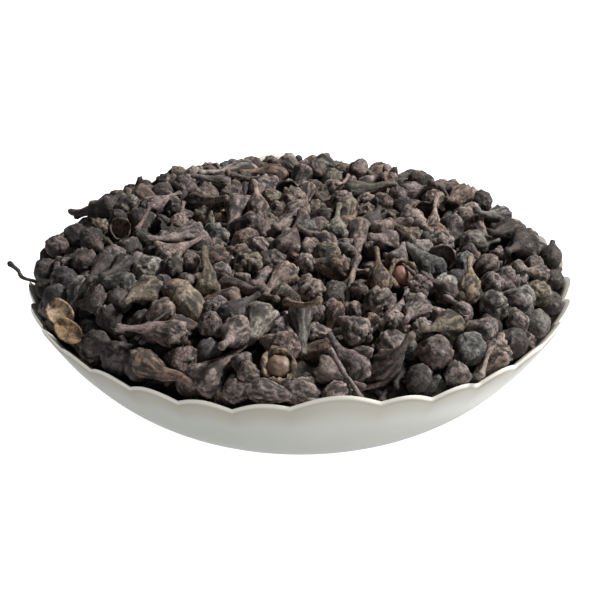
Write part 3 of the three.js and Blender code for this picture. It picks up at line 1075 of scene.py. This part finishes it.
def bud_tree():
    """Sets out a collection's buds on points that hold their turn, size and variant."""
    tree, given, result = new_tree("set_out_buds", "GeometryNodeTree", [
        ("Geometry", "NodeSocketGeometry", None), ("Buds", "NodeSocketCollection", None),
        ("Size", "NodeSocketFloat", 1.0), ("Material", "NodeSocketMaterial", None)],
        [("Geometry", "NodeSocketGeometry")])

    def stored(name, kind):
        node = add_node(tree, "GeometryNodeInputNamedAttribute", {"Name": name}, data_type=kind)
        return next(socket for socket in node.outputs if socket.enabled)

    pool = add_node(tree, "GeometryNodeCollectionInfo", {
        "Collection": given["Buds"], "Separate Children": True, "Reset Children": True})
    turn = add_node(tree, "FunctionNodeEulerToRotation", {0: stored("turn", "FLOAT_VECTOR")})
    sized = add_node(tree, "ShaderNodeVectorMath", {
        0: stored("size", "FLOAT_VECTOR"), "Scale": given["Size"]}, operation="SCALE")
    placed = add_node(tree, "GeometryNodeInstanceOnPoints", {
        "Points": given["Geometry"], "Instance": pool.outputs[0], "Pick Instance": True,
        "Instance Index": stored("variant", "INT"), "Rotation": turn.outputs[0], "Scale": sized.outputs[0]})
    end_tree(tree, placed.outputs[0], given["Material"], result)
    return tree


# ---------------------------------------------------------------- materials


def noise_value(tree, vector, scale, detail=3.0, roughness=0.6):
    inputs = {"Vector": vector, "Scale": scale, "Detail": detail, "Roughness": roughness}
    return Term(tree, add_node(tree, "ShaderNodeTexNoise", inputs).outputs["Fac"])


def blend_colour(tree, factor, first, second):
    inputs = {"Factor": factor, "A": first, "B": second}
    return add_node(tree, "ShaderNodeMix", inputs, data_type="RGBA").outputs["Result"]


def bump(tree, height, strength, distance):
    """A normal raised by a height, at most by a distance in millimetres."""
    inputs = {"Strength": strength, "Distance": distance * METRES, "Height": height}
    return add_node(tree, "ShaderNodeBump", inputs).outputs[0]


def srgb(red, green, blue):
    """A linear colour from sRGB numbers up to 255."""
    def linear(level):
        share = level / 255
        return share / 12.92 if share <= 0.04045 else ((share + 0.055) / 1.055) ** 2.4
    return (linear(red), linear(green), linear(blue), 1.0)


def dry_skin_group():
    """Wrinkled dusty skin: painted shade in the hollows and pocks, pale ridges, mottling, and a fine height
    for bumps.
    """
    number, colour, vector = "NodeSocketFloat", "NodeSocketColor", "NodeSocketVector"
    group, skin, result = new_tree("dry_skin", "ShaderNodeTree", [
        ("Colour", colour, (0.1, 0.1, 0.1, 1)), ("Dust colour", colour, (0.3, 0.28, 0.27, 1)),
        ("Pit colour", colour, (0.014, 0.0115, 0.01, 1)), ("Place", vector, (0, 0, 0)),
        ("Relief", number, 0.0), ("Dust", number, 0.5), ("Pits", number, 0.8),
        ("Mottle", number, 0.4), ("Grain", number, 0.5), ("Pocks", number, 0.0)],
        [("Colour", colour), ("Height", number)])
    drawn_out = add_node(group, "ShaderNodeVectorMath", {
        0: skin["Place"], 1: STREAK_STRETCH}, operation="MULTIPLY")
    patches = noise_value(group, skin["Place"], 0.35, 4.0)
    streaks = noise_value(group, drawn_out.outputs[0], 1.5, 4.0, 0.65)
    specks = noise_value(group, skin["Place"], 1.7, 4.0, 0.75)
    cells = add_node(group, "ShaderNodeTexVoronoi", {"Scale": 0.95, "Vector": skin["Place"]})
    pocks = Term(group, cells.outputs["Distance"]).ramp(0.42, 0.1) * skin["Pocks"]

    shade = 1.0
    for pattern, swing in ((patches, 0.4), (streaks, 0.4), (specks, 0.45)):
        shade = pattern.ramp(0.38, 0.62, -swing, swing) * skin["Mottle"] + shade
    mottled = add_node(group, "ShaderNodeVectorMath", {
        0: skin["Colour"], "Scale": shade.math("MAXIMUM", 0.25)}, operation="SCALE")
    dust = skin["Relief"].ramp(0.0, 0.85) * skin["Dust"] * specks.ramp(0.38, 0.6)
    dusted = blend_colour(group, dust, mottled.outputs[0], skin["Dust colour"])
    # painted shade: the hollows of the relief and the pocks are darkened towards the near-black pit colour
    hollow = skin["Relief"].ramp(-0.1, -0.75) * skin["Pits"]
    pit_shaded = blend_colour(group, hollow.math("MAXIMUM", pocks * 0.75), dusted, skin["Pit colour"])
    fill(group, result, {"Colour": pit_shaded, "Height": streaks * 0.6 + specks * skin["Grain"] - pocks})
    return group


def attribute(tree, name, output):
    node = add_node(tree, "ShaderNodeAttribute", {}, attribute_type="GEOMETRY", attribute_name=name)
    return Term(tree, node.outputs[output])


def new_material(name):
    material = bpy.data.materials.new(name)
    material.use_nodes = True
    tree = material.node_tree
    return material, tree, tree.nodes["Principled BSDF"]


def bud_material(name, skin, dust=0.5, pits=0.8, mottle=0.9, strength=0.7, roughness=0.82,
                 dust_colour=(165, 156, 149), pocks=0.0):
    """A dried bud's skin in the bud's own colour."""
    material, tree, shader = new_material(name)
    effect = tree.nodes.new("ShaderNodeGroup")
    effect.node_tree = skin
    fill(tree, effect, {
        "Colour": attribute(tree, "bud_colour", "Color"), "Dust colour": srgb(*dust_colour),
        "Place": attribute(tree, "place", "Vector"), "Relief": attribute(tree, "relief", "Fac"),
        "Dust": dust, "Pits": pits, "Mottle": mottle, "Grain": 0.5,
        "Pocks": attribute(tree, "along", "Fac").ramp(0.62, 0.86, 0.0, pocks)})
    fill(tree, shader, {"Base Color": effect.outputs["Colour"], "Roughness": roughness,
                        "Normal": bump(tree, effect.outputs["Height"], strength, 0.6)})
    return material


def core_material():
    """Crushed bits of buds between the whole ones, painted nearly black as the shade in the deep gaps."""
    material, tree, shader = new_material("buried_bits")
    place = tree.nodes.new("ShaderNodeTexCoord").outputs["Object"]
    lumps = noise_value(tree, place, 260.0, 5.0, 0.65)
    bits = noise_value(tree, place, 900.0, 3.0)
    # painted shade: both colours of the core are nearly black
    colour = blend_colour(tree, lumps.ramp(0.35, 0.7), srgb(24, 20, 17), srgb(62, 54, 49))
    fill(tree, shader, {"Base Color": colour, "Roughness": 0.9, "Normal": bump(tree, bits, 0.8, 1.0)})
    return material


def glaze_material():
    """Pale grey-green glaze with painted light: lighter at the foot for the floor's bounce, a brownish
    band of painted shade just under the lip and a cream painted highlight on it.
    """
    material, tree, shader = new_material("bowl_glaze")
    place = tree.nodes.new("ShaderNodeTexCoord").outputs["Object"]
    up_wall = attribute(tree, "up_wall", "Fac")
    clouds = noise_value(tree, place, 38.0, 4.0)
    specks = noise_value(tree, place, 700.0, 2.0)
    clouded = blend_colour(tree, clouds.ramp(0.3, 0.7), srgb(182, 185, 177), srgb(192, 195, 187))
    # painted light: the lower wall is lighter, for the light that the floor bounces up
    body = blend_colour(tree, up_wall.ramp(0.52, 0.8), srgb(212, 210, 207), clouded)
    # painted shade: a brownish band just under the lip
    uneven = clouds * LIP_SHADE_UNEVENNESS + up_wall
    lip_shaded = blend_colour(tree, uneven.ramp(0.9, 1.0, 0.0, 0.7), body, srgb(160, 152, 136))
    # painted highlight: the lip itself is a bright cream
    lip_highlighted = blend_colour(tree, up_wall.ramp(0.985, 0.995), lip_shaded, srgb(238, 234, 224))
    fill(tree, shader, {
        "Base Color": lip_highlighted, "Roughness": clouds.ramp(0.3, 0.7, 0.3, 0.4),
        "Normal": bump(tree, specks, 0.06, 0.4), "Coat Weight": 0.35, "Coat Roughness": 0.18})
    return material


def bud_materials(skin):
    """The skin of each kind, by the kind's name."""
    return {
        "knobbly": bud_material("rough_bud", skin, dust=0.85, pits=0.95, strength=0.8, pocks=0.45),
        "lobed": bud_material("folded_bud", skin, dust=0.8, pits=0.95, strength=0.8, pocks=0.3),
        "ribbed": bud_material("wrinkled_bud", skin, dust=0.7, pits=0.9, pocks=0.35),
        "cone": bud_material("smooth_bud", skin, dust=0.6, pits=0.8, pocks=0.3),
        "wedge": bud_material("plain_bud", skin, dust=0.65, pits=0.85, pocks=0.4),
        "round": bud_material("waxy_bud", skin, dust=0.6, pits=0.85, roughness=0.7, pocks=0.4),
        "open": bud_material("ragged_bud", skin, dust=0.7, pits=0.9, mottle=0.8, pocks=0.6),
        "cup": bud_material("hollow_bud", skin, dust=0.6, pits=0.9, mottle=0.8, strength=0.6, pocks=0.3),
        "twig": bud_material("stalk_bark", skin, dust=0.5, pits=0.6, mottle=0.8, strength=0.5),
        "flake": bud_material("petal_skin", skin, dust=0.3, pits=0.4, mottle=0.8, strength=0.4),
        "fruit": bud_material("fruit_skin", skin, dust=0.15, pits=0.3, mottle=0.4, strength=0.12,
                              roughness=0.5, dust_colour=(170, 140, 120)),
    }


# ---------------------------------------------------------------- the pieces


def make_bowl():
    bowl = new_object("bowl_body", bpy.data.meshes.new("bowl_body"))
    return apply_tree(bowl, bowl_tree(), {"Material": glaze_material()})


def make_core():
    """The buried part of the heap, lumpy on top and just clear of the bowl."""
    wall_gap = WALL_THICKNESS / 2 + CORE_GAP
    offset = Vector((3.1, 7.7, 1.3))
    angles = np.linspace(0, 2 * math.pi, CORE_SIDES, endpoint=False)
    points = [(0, 0, float(mound_top(0.0, 0.0)) - CORE_DEPTH)]
    for ring in range(CORE_RINGS):
        reach = CORE_EDGE * (ring + 1) / CORE_RINGS
        for angle in angles:
            x, y = reach * math.sin(angle), -reach * math.cos(angle)
            lump = noise.noise(Vector((x, y, 0)) * 0.17 + offset) + 0.5 * noise.noise(Vector((x, y, 9)) * 0.5)
            points.append((x, y, float(mound_top(x, y)) - CORE_DEPTH + CORE_LUMP * lump))
    for share in CORE_WALL_SHARES:
        run = (1 - share) * (KNEE_RADIUS - BASE_RADIUS) + share * (RIM_RADIUS - KNEE_RADIUS)
        slope = math.atan2(share * RIM_HEIGHT, run)
        for angle in angles:
            radius, height = wall_middle(share, math.degrees(angle))
            inner = radius - wall_gap * math.sin(slope)
            lifted = height + wall_gap * math.cos(slope)
            points.append((inner * math.sin(angle), -inner * math.cos(angle), lifted))
    points.append((0, 0, WALL_THICKNESS + CORE_GAP))
    faces = closed_faces(CORE_RINGS + len(CORE_WALL_SHARES), CORE_SIDES, flipped=True)
    core = new_object("heap_core", mesh_from("heap_core", points, faces))
    core.data.materials.append(core_material())
    return core


def bud_points(name, bed, chosen, variants, draws):
    """A mesh of bare points that hold each chosen bud's turn, size, variant and colour."""
    turns, sizes, colours = [], [], []
    for index in chosen:
        aim = Vector(bed.axes[index]).to_track_quat("Z", "Y")
        roll = Quaternion((0, 0, 1), draws.uniform(0, 2 * math.pi))
        turns.append(tuple((aim @ roll).to_euler()))
        scale, stretch = bed.scales[index], bed.stretches[index]
        plump = draws.uniform(*BUD_PLUMPNESS)
        sizes.append((scale * plump, scale * plump, scale * stretch))
        colour = np.array(srgb(*TINTS[bed.tints[index]])[:3])
        shade = 1.0 if bed.fixed[index] else draws.uniform(*BUD_SHADES)
        # painted shade: the buried buds are darkened
        if bed.buried[index]:
            shade *= BURIED_PAINTED_SHADE
        warmth = draws.uniform(-BUD_WARMTH, BUD_WARMTH)
        colours.append((*(colour * shade * np.array([1 + warmth, 1, 1 - warmth])), 1.0))
    mesh = bpy.data.meshes.new(name)
    mesh.from_pydata([tuple(p) for p in bed.ends[chosen] * METRES], [], [])
    add_values(mesh, "turn", "FLOAT_VECTOR", turns)
    add_values(mesh, "size", "FLOAT_VECTOR", sizes)
    add_values(mesh, "variant", "INT", draws.integers(0, variants, len(chosen)))
    add_values(mesh, "bud_colour", "FLOAT_COLOR", colours)
    return mesh


def make_heap():
    """Every piece of the heap: the core, and one mesh for each kind of bud above and below."""
    bed = pack_buds()
    tree = bud_tree()
    materials = bud_materials(dry_skin_group())
    short, cones, twigs = np.isin(bed.kinds, ("round", "wedge")), bed.kinds == "cone", bed.kinds == "twig"
    groups = [(kind, kind, (bed.kinds == kind) & ~bed.buried) for kind in KINDS if kind != "fruit"]
    groups.append(("buried", "knobbly", bed.buried & ~short & ~cones & ~twigs))
    groups.append(("buried_cone", "cone", bed.buried & cones))
    groups.append(("buried_round", "round", bed.buried & short))
    groups.append(("buried_twig", "twig", bed.buried & twigs))
    heap, pools = [make_core()], []

    def set_out(name, pool_name, kind, mask, rings, sides, shape_seed, point_seed, colours=None):
        chosen = np.nonzero(mask)[0]
        if not len(chosen):
            return
        pool = bud_collection(pool_name, KINDS[kind], shape_seed, rings, sides)
        pools.append(pool)
        draws = np.random.default_rng(point_seed)
        points = bud_points(name, bed, chosen, KINDS[kind].variants, draws)
        if colours:
            shades = [srgb(*colours[number % len(colours)]) for number in range(len(chosen))]
            points.attributes["bud_colour"].data.foreach_set("color", np.array(shades, np.float32).ravel())
        piece = new_object(name, points)
        heap.append(apply_tree(piece, tree, {"Buds": pool, "Material": materials[kind]}))

    for seed, (name, kind, mask) in enumerate(groups):
        coarse = name.startswith("buried") and kind != "twig"
        rings, sides = (BURIED_RINGS, BURIED_SIDES) if coarse else (KINDS[kind].rings, KINDS[kind].sides)
        set_out(f"{name}_buds", f"{name}_kinds", kind, mask, rings, sides, seed + 100, seed + 500)
    fruit = KINDS["fruit"]
    set_out("fruits", "fruit_kinds", "fruit", bed.kinds == "open", fruit.rings, fruit.sides, 300, 301,
            FRUIT_COLOURS)

    for pool in pools:
        for variant in list(pool.objects):
            bpy.data.objects.remove(variant)
        bpy.data.collections.remove(pool)
    return heap


def area_light(name, place, aim, size, power, colour):
    data = bpy.data.lights.new(name, "AREA")
    data.shape = "DISK"
    data.size = size
    data.energy = power
    data.color = colour
    light = new_object(name, data)
    light.location = place
    light.rotation_euler = (Vector(place) - Vector(aim)).to_track_quat("Z", "Y").to_euler()


def make_camera():
    data = bpy.data.cameras.new("camera")
    data.sensor_width = SENSOR_WIDTH
    data.lens = FOCAL_PX * SENSOR_WIDTH / PHOTO_PX
    data.clip_start = 0.01
    camera = new_object("camera", data)
    reach = VIEW_DISTANCE * METRES
    height = RIM_HEIGHT * METRES + reach * math.sin(VIEW_ELEVATION)
    camera.location = (0, -reach * math.cos(VIEW_ELEVATION), height)
    dip = math.atan((PHOTO_PX / 2 - RIM_CENTRE_PX[1]) / FOCAL_PX)
    camera.rotation_euler = (math.pi / 2 - VIEW_ELEVATION - dip, 0, 0)
    bpy.context.scene.camera = camera


def make_studio():
    """White paper that gives off some light, a dim white sky and two soft lights."""
    corners = [(x * PAPER_REACH, y * PAPER_REACH, 0) for x, y in ((-1, -1), (1, -1), (1, 1), (-1, 1))]
    floor = new_object("floor", mesh_from("floor", corners, [(0, 1, 2, 3)]))
    material, tree, shader = new_material("floor_paper")
    seen = Term(tree, tree.nodes.new("ShaderNodeLightPath").outputs["Is Camera Ray"])
    fill(tree, shader, {
        "Base Color": (PAPER_SHADE, PAPER_SHADE, PAPER_SHADE, 1), "Roughness": 0.9,
        "Emission Color": (1, 1, 1, 1), "Emission Strength": seen * PAPER_GLOW + PAPER_BOUNCE})
    floor.data.materials.append(material)
    floor.location = (0, 0, -PAPER_DROP * METRES)
    world = bpy.data.worlds.new("studio")
    world.use_nodes = True
    sky = world.node_tree.nodes["Background"]
    fill(world.node_tree, sky, {"Color": (1, 1, 1, 1), "Strength": SKY_STRENGTH})
    bpy.context.scene.world = world
    for name, light in LIGHTS.items():
        area_light(name, *light)
    bpy.context.scene.view_settings.view_transform = "Standard"


# without a seed, some of the noise under the buds' skin would start from the clock
noise.seed_set(NOISE_SEED)
make_camera()
make_studio()
bowl = make_bowl()
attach(bowl, "root")
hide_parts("bowl")
for piece in make_heap():
    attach(piece, "root")
    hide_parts("bud_heap")
